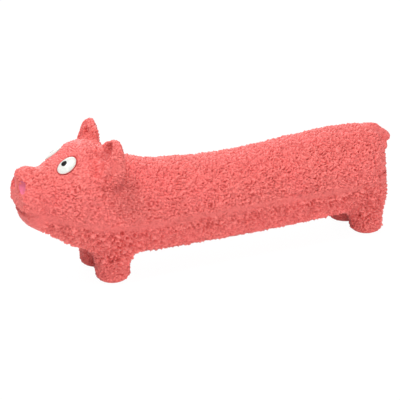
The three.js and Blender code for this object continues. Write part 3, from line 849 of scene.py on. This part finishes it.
fibre = make_piece("fibre_stuffing", fibre_points, fibre_quads)
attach(fibre, "toy")
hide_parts("fibre_filling")

# %% [markdown]
# ## Eyes and nostrils
# The paint sits on the latex: two glossy white ovals on low domes, tilted towards the snout, a small black
# pupil in the forward half of each, and a coat of magenta in each nostril. Every coat is made the same way.
# An oval disc of rings is laid down on the skin by the field itself, so it follows every curve under it,
# and is then lifted by its own thickness. Its rim and back go a little way into the latex.

# %% Laying an oval coat on the skin
coat_rings, coat_sides = 14, 56
coat_root = 0.5


def lay_coat(name, place, axes, half_long, half_wide, height, side):
    """A closed oval body on the skin. height gives its thickness from the disc's own two coordinates."""
    long_axis, wide_axis = axes
    flat = [(0.0, 0.0)]
    for ring in range(1, coat_rings + 1):
        reach = math.sin(math.pi / 2 * ring / coat_rings)
        for k in range(coat_sides):
            turn = 2 * math.pi * k / coat_sides
            flat.append((reach * math.cos(turn) * half_long, reach * math.sin(turn) * half_wide))
    flat = np.array(flat)
    base = np.array(place) + flat[:, :1] * np.array(long_axis) + flat[:, 1:] * np.array(wide_axis)
    base, facing = settle(skin_field, base, rounds=4, longest=2)
    top = base + facing * height(flat[:, 0], flat[:, 1])[:, None]
    back = base[-coat_sides:] - facing[-coat_sides:] * coat_root
    hub = base[:1] - facing[:1] * coat_root
    points = np.concatenate([top, back, hub])
    faces = []
    for k in range(coat_sides):
        after = (k + 1) % coat_sides
        faces.append((0, 1 + k, 1 + after))
        for ring in range(coat_rings):
            a = 1 + ring * coat_sides
            faces.append((a + k, a + coat_sides + k, a + coat_sides + after, a + after))
        rim = 1 + coat_rings * coat_sides
        faces.append((rim + k, len(points) - 1, rim + after))
    if side < 0:
        points = points * np.array((1, -1, 1))
        faces = [face[::-1] for face in faces]
    return make_piece(name, points, faces)

# %% Eye paint
pupil_half_long, pupil_half_wide, pupil_proud, pupil_film = 1.55, 1.35, 0.12, 0.04
pupil_forward, pupil_heights = -0.45, {"left": 1.1, "right": -1.6}
sides = {"left": -1, "right": 1}
eye_coats = []
for hand, side in sides.items():
    white = lay_coat(f"eye_paint_{hand}", eye_place, eye_axes, eye_half_long, eye_half_wide,
                     eye_height, side)
    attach(white, "toy")
    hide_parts(f"eye_{hand}")
    pupil_up = pupil_heights[hand]
    pupil_at = eye_place + eye_axes[0] * pupil_forward + eye_axes[1] * pupil_up

    def pupil_height(along_eye, across_eye):
        crown = dome(along_eye, across_eye, pupil_half_long, pupil_half_wide, pupil_proud, pupil_film)
        return crown + eye_height(along_eye + pupil_forward, across_eye + pupil_up)

    black = lay_coat(f"pupil_paint_{hand}", pupil_at, eye_axes, pupil_half_long, pupil_half_wide,
                     pupil_height, side)
    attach(black, "toy")
    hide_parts(f"pupil_{hand}")
    eye_coats += [white, black]
print("eye coats:", [piece.name for piece in eye_coats])

# %% Nostril paint
nostril_axes = (np.array((0.0, 0.0, 1.0)), np.array((-math.sin(nostril_turn), -math.cos(nostril_turn), 0.0)))
pit_middle = np.array(nostril_place) + (1.3, 0, 0)
painted_share, nostril_film = 0.94, 0.07
nostril_coats = []
for hand, side in sides.items():
    magenta = lay_coat(f"nostril_coat_{hand}", pit_middle, nostril_axes,
                       nostril_half.z * painted_share, nostril_half.y * painted_share,
                       lambda up, across: np.full(len(up), nostril_film), side)
    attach(magenta, "toy")
    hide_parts(f"nostril_paint_{hand}")
    nostril_coats.append(magenta)
print("nostril coats:", [piece.name for piece in nostril_coats])

# %% [markdown]
# ## Squeaker
# The plug's mould is turned on a lathe, and so is the plug here: its half profile goes round the axis once.
# A flange lies in the seat, a catch behind the skin holds it there, and the barrel above holds the reed.
# The corners have the small bevels of moulded plastic. The reed, its trough, its clamp and the cap that
# keeps the fibre out are inside, where the CAD model's own forms are right.

# %% Profile of the plug
def round_corners(profile, bevel):
    """The closed profile with each corner cut by a small bevel."""
    cut = []
    count = len(profile)
    for k, corner in enumerate(profile):
        corner = np.array(corner, float)
        for other in (profile[k - 1], profile[(k + 1) % count]):
            way = np.array(other, float) - corner
            length = np.linalg.norm(way)
            cut.append(corner + way / length * min(bevel, length / 3))
    return cut


flange_radius, neck_radius, catch_radius = 8.0, 6.3, 7.5
barrel_radius, bore_radius, air_radius = 5.5, 4.0, 1.7
flange_top, catch_bottom = keel_here + 1.2, keel_here + 4.3
catch_top, barrel_top = catch_bottom + 1.4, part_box("squeaker_body")[1].z / MM
plug_bevel = 0.25
profile = round_corners([
    (air_radius, keel_here), (flange_radius, keel_here), (flange_radius, flange_top),
    (neck_radius, flange_top), (neck_radius, catch_bottom), (catch_radius, catch_bottom),
    (barrel_radius, catch_top), (barrel_radius, barrel_top), (bore_radius, barrel_top),
    (bore_radius, flange_top), (air_radius, flange_top),
], plug_bevel)
print("plug's profile:", len(profile), "points,", round(barrel_top - keel_here, 1), "mm tall")

# %% Turning the plug
plug_sides = 72
plug_points, plug_faces = [], []
for k in range(plug_sides):
    turn = 2 * math.pi * k / plug_sides
    following = (k + 1) % plug_sides
    for n, (radius, height) in enumerate(profile):
        plug_points.append((squeaker_x + radius * math.cos(turn), radius * math.sin(turn), height))
        after = (n + 1) % len(profile)
        plug_faces.append((k * len(profile) + n, following * len(profile) + n,
                           following * len(profile) + after, k * len(profile) + after))
plug = make_piece("squeaker_plug", plug_points, plug_faces, smooth=False)
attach(plug, "toy")
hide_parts("squeaker_body")
print("squeaker plug:", len(plug_faces), "faces")

# %% [markdown]
# ## Writing finishes as sums
# A finish is a tree of nodes, and long chains of Math nodes are hard to read. So a Wire wraps one output,
# and adding, taking away or multiplying wires adds the Math nodes. Colours are mixed, never put through
# Math, which would turn them grey. A Finish makes any other node from its type, settings and inputs.

# %% Wires
class Wire:
    """One output of a node, which can be used in sums."""

    def __init__(self, finish, socket):
        self.finish, self.socket = finish, socket

    def _sum(self, operation, a, b):
        return self.finish.add("ShaderNodeMath", {"operation": operation}, {0: a, 1: b})

    def __add__(self, other):
        return self._sum("ADD", self, other)

    def __sub__(self, other):
        return self._sum("SUBTRACT", self, other)

    def __rsub__(self, other):
        return self._sum("SUBTRACT", other, self)

    def __mul__(self, other):
        return self._sum("MULTIPLY", self, other)

    __radd__, __rmul__ = __add__, __mul__

# %% Finishes
class Finish:
    """One material, or the world, built node by node."""

    def __init__(self, name, world=None):
        self.material = world or bpy.data.materials.new(name)
        self.material.use_nodes = True
        self.tree = self.material.node_tree
        self.tree.nodes.clear()

    def add(self, kind, settings=None, sockets=None, output=0):
        """One new node. It gives the wire of one of its outputs."""
        node = self.tree.nodes.new(kind)
        for name, value in (settings or {}).items():
            if name == "stops":
                self.set_stops(node.color_ramp, value)
            else:
                setattr(node, name, value)
        for key, value in (sockets or {}).items():
            if isinstance(value, Wire):
                self.tree.links.new(value.socket, node.inputs[key])
            else:
                node.inputs[key].default_value = value
        return Wire(self, node.outputs[output]) if node.outputs else node

    @staticmethod
    def set_stops(ramp, stops):
        while len(ramp.elements) < len(stops):
            ramp.elements.new(1)
        for element, (position, value) in zip(ramp.elements, stops):
            element.position = position
            element.color = (value, value, value, 1)

    def ramp(self, wire, *stops):
        """wire passed through a curve of (from, to) stops."""
        return self.add("ShaderNodeValToRGB", {"stops": stops}, {"Fac": wire})

    def attribute(self, name):
        return self.add("ShaderNodeAttribute", {"attribute_name": name}, output=2)

    def seen_straight(self):
        """1 for what the camera sees itself or in a gloss, and 0 for the light that falls on the toy."""
        return self.add("ShaderNodeLightPath") + self.add("ShaderNodeLightPath", output=3)

    def place(self):
        """Each point's place in the piece, in metres."""
        return self.add("ShaderNodeTexCoord", output=3)

    def noise(self, size_mm, detail=2.0, roughness=0.5):
        return self.add("ShaderNodeTexNoise", None, {
            "Vector": self.place(), "Scale": 1 / (size_mm * MM), "Detail": detail, "Roughness": roughness})

    def mix(self, mask, first, second):
        """The first colour where the mask is 0 and the second where it is 1."""
        return self.add("ShaderNodeMix", {"data_type": "RGBA"}, {0: mask, 6: first, 7: second}, 2)

    def bump(self, height, distance_mm, strength=1.0):
        return self.add("ShaderNodeBump", None, {
            "Height": height, "Distance": distance_mm * MM, "Strength": strength})

    def surface(self, **values):
        """The finished surface. Names are the shader's own sockets, with _ for a space."""
        sockets = {name.replace("_", " "): value for name, value in values.items()}
        shader = self.add("ShaderNodeBsdfPrincipled", None, sockets)
        self.add("ShaderNodeOutputMaterial", None, {"Surface": shader})
        return self.material

# %% Colours, and coats of a finish
def colour(red, green, blue):
    """A colour as it looks on a screen, 0 to 255, as the light values that Blender works in."""
    def light(value):
        value /= 255
        return value / 12.92 if value <= 0.04045 else ((value + 0.055) / 1.055) ** 2.4
    return (light(red), light(green), light(blue), 1)


def coat(piece, material):
    piece.data.materials.clear()
    piece.data.materials.append(material)

# %% [markdown]
# ## Latex
# Natural latex dyed coral pink has a soft satin sheen and lets a little light through. Its creases get
# painted shade, a deeper red, and the tops of its lumps a paler painted highlight, both picked by the
# relief. Slow noise gives the slight mottling of a dipped skin, and a fine bump the wrinkles that are too
# small to be worth vertices.

# %% The latex finish
coral = colour(231, 107, 101)
painted_crease_shade = colour(192, 66, 62)
painted_lump_highlight = colour(247, 130, 124)
painted_hollow_shade = colour(170, 38, 38)
blush = colour(240, 104, 104)

latex = Finish("latex_coral")
relief_wire = latex.attribute("relief")
plain_wire = latex.attribute("plain")
# Painted shade: the lower the relief, the more of the crease red.
crease_shade_mask = latex.ramp(relief_wire, (0.0, 0.0), (0.5, 0.75), (0.8, 1.0))
crease_shaded = latex.mix(crease_shade_mask, painted_crease_shade, coral)
# Painted highlight: the tops of the lumps go paler.
lump_highlight_mask = latex.ramp(relief_wire, (0.68, 0.0), (1.0, 0.7))
shaded_and_highlit = latex.mix(lump_highlight_mask, crease_shaded, painted_lump_highlight)
patches = latex.ramp(latex.noise(22, 3), (0.4, 0.0), (0.7, 0.35))
# Painted shade in the hollows, by the hollow attribute, over the random mottling.
mottled_and_shaded = latex.mix(latex.attribute("hollow"), latex.mix(patches, shaded_and_highlit, blush), painted_hollow_shade)
fine = latex.noise(0.55, 2, 0.6)
sheen_noise = latex.noise(6, 2)
latex_material = latex.surface(
    Base_Color=mottled_and_shaded,
    Roughness=0.5 + sheen_noise * 0.14 - plain_wire * 0.06,
    Normal=latex.bump(fine * (1 - plain_wire * 0.75), 0.12, 0.8),
    Subsurface_Weight=0.05,
    Subsurface_Radius=(0.9, 0.35, 0.25),
    Subsurface_Scale=1.5 * MM,
    Specular_IOR_Level=0.58,
)
coat(skin, latex_material)
print("latex:", len(latex.tree.nodes), "nodes")

# %% [markdown]
# ## Paints, fibre and plastic
# The eye paint is a glossy enamel, laid on thick enough to be smooth. The nostril paint is thinner and
# duller, with painted shade towards the top of the pit, under its rim. The fibre is white polyester, a
# tangle of fine threads. The squeaker is off-white polyethylene with the fine grain of its mould, and its
# reed a thin clear film.

# %% Enamel of the eyes
enamel = Finish("enamel_white")
enamel_tone = enamel.ramp(enamel.noise(3, 2), (0.35, 0.0), (0.7, 1.0))
coat_white = enamel.surface(
    Base_Color=enamel.mix(enamel_tone, colour(212, 216, 210), colour(226, 225, 219)),
    Roughness=0.22 + enamel.noise(1.5) * 0.12,
    Normal=enamel.bump(enamel.noise(1.8, 1), 0.03, 0.5),
)
gloss = Finish("enamel_black")
coat_black = gloss.surface(
    Base_Color=gloss.mix(gloss.noise(1.2), colour(9, 8, 8), colour(20, 17, 16)),
    Roughness=0.3 + gloss.noise(0.8) * 0.1,
    Specular_IOR_Level=0.12,
    Normal=gloss.bump(gloss.noise(0.9, 1), 0.02, 0.4),
)
for piece in eye_coats:
    coat(piece, coat_white if "eye" in piece.name else coat_black)
print("enamels:", coat_white.name, "and", coat_black.name)

# %% Paint of the nostrils
magenta_paint = Finish("nostril_magenta")
pit_height = magenta_paint.add("ShaderNodeSeparateXYZ", None, {"Vector": magenta_paint.place()}, 2)
pit_bottom = (nostril_place.z - nostril_half.z) * MM
# Painted shade: the paint goes from pink at the bottom of the pit to a darker red at its top, under the rim.
pit_shade_share = magenta_paint.add("ShaderNodeMapRange", None, {
    "Value": pit_height, "From Min": pit_bottom, "From Max": pit_bottom + 2 * nostril_half.z * MM})
coat_magenta = magenta_paint.surface(
    Base_Color=magenta_paint.mix(
        pit_shade_share + (magenta_paint.noise(1.5) - 0.5) * 0.5, colour(243, 122, 156), colour(192, 70, 94)),
    Roughness=0.45 + magenta_paint.noise(1.0) * 0.2,
    Normal=magenta_paint.bump(magenta_paint.noise(0.7), 0.05, 0.5),
)
for piece in nostril_coats:
    coat(piece, coat_magenta)
print("paint:", coat_magenta.name, "from", round(pit_bottom / MM, 1), "mm up")

# %% Fibre, plastic and film
threads = Finish("fibre_white")
tangle = threads.add("ShaderNodeTexWave", {"wave_type": "BANDS"}, {
    "Vector": threads.place(), "Scale": 900, "Distortion": 14, "Detail": 3, "Detail Scale": 2})
fibre_material = threads.surface(
    Base_Color=threads.mix(tangle, colour(226, 224, 218), colour(248, 247, 243)),
    Roughness=0.85 + tangle * 0.1,
    Normal=threads.bump(tangle, 0.4, 1),
)
moulded = Finish("plastic_off_white")
plastic_material = moulded.surface(
    Base_Color=moulded.mix(moulded.noise(4), colour(228, 224, 214), colour(240, 237, 230)),
    Roughness=0.34 + moulded.noise(0.8) * 0.16,
    Normal=moulded.bump(moulded.noise(0.35), 0.02, 0.6),
)
film = Finish("reed_film")
film_material = film.surface(
    Base_Color=film.mix(film.noise(2), colour(228, 230, 226), colour(240, 241, 238)),
    Roughness=0.12 + film.noise(1.2) * 0.1,
    Normal=film.bump(film.noise(0.9), 0.01, 0.4),
    Transmission_Weight=0.5,
)
coat(fibre, fibre_material)
coat(plug, plastic_material)
for name in ("reed_trough", "reed_clamp", "fibre_guard"):
    coat(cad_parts[name], plastic_material)
coat(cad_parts["squeaker_reed"], film_material)
print("inside the toy:", fibre_material.name, plastic_material.name, film_material.name)

# %% [markdown]
# ## Floor and light
# The photograph has a cut-out look: white all round, and soft light with a little more from above. A dim
# white world lights the creases. One softbox almost overhead gives the tops of the lumps their glow, two
# weak ones low in front keep the flank and the legs from going dark, and a wide one behind lights the far
# side of the back. The floor is white and bounces light onto the belly. To the camera it is almost plain
# white, but it keeps some of the toy's shadow.

# %% Floor
half_floor, floor_drop = 3000, 0.05
floor_glow, glow_strength = 0.95, 1.03
paper_white, full_white = (0.94, 0.94, 0.94, 1), (1, 1, 1, 1)
floor = make_piece("studio_floor", [
    (-half_floor, -half_floor, 0), (half_floor, -half_floor, 0), (half_floor, half_floor, 0),
    (-half_floor, half_floor, 0)], [(0, 1, 2, 3)], smooth=False)
floor.location.z = -floor_drop * MM

paper = Finish("studio_paper")
matte = paper.add("ShaderNodeBsdfDiffuse", None, {"Color": paper_white})
white_glow = paper.add("ShaderNodeEmission", None, {"Color": full_white, "Strength": glow_strength})
paper_shader = paper.add("ShaderNodeMixShader", None, {
    0: paper.seen_straight() * floor_glow, 1: matte, 2: white_glow})
paper.add("ShaderNodeOutputMaterial", None, {"Surface": paper_shader})
coat(floor, paper.material)
print("floor:", 2 * half_floor * MM, "m wide")

# %% World
world_strength = 0.4
bpy.context.scene.world = bpy.data.worlds.new("studio_white")
sky = Finish("studio_white", bpy.context.scene.world)
soft_light = sky.add("ShaderNodeBackground", None, {"Color": full_white, "Strength": world_strength})
backdrop = sky.add("ShaderNodeBackground", None, {"Color": full_white, "Strength": 1})
sky_shader = sky.add("ShaderNodeMixShader", None, {0: sky.seen_straight(), 1: soft_light, 2: backdrop})
sky.add("ShaderNodeOutputWorld", None, {"Surface": sky_shader})
print("world:", len(sky.tree.nodes), "nodes")

# %% Softboxes
lit_point = Vector((0, 0, 0.03))


def softbox(name, place, size, power):
    """A soft rectangular lamp, in metres and watts, turned to the toy."""
    lamp = bpy.data.lights.new(name, "AREA")
    lamp.shape = "RECTANGLE"
    lamp.size, lamp.size_y = size
    lamp.energy = power
    holder = bpy.data.objects.new(name, lamp)
    holder.location = place
    holder.rotation_euler = (lit_point - Vector(place)).to_track_quat("-Z", "Y").to_euler()
    add_to_scene(holder)
    print(name, "at", place, "m,", power, "W")


softbox("softbox_above", (-0.42, -0.1, 1.0), (0.3, 0.3), 7.4)
softbox("softbox_front", (-0.2, -0.93, 0.11), (0.5, 0.2), 2.3)
softbox("softbox_side", (0.8, -0.7, 0.14), (0.5, 0.24), 2.1)
softbox("softbox_back", (0.2, 0.9, 0.6), (0.6, 0.6), 6.0)

# %% [markdown]
# ## Colour as written
# The Standard view shows a colour as it was written, with no film curve over it.

# %% View and sizes
bpy.context.scene.view_settings.view_transform = "Standard"
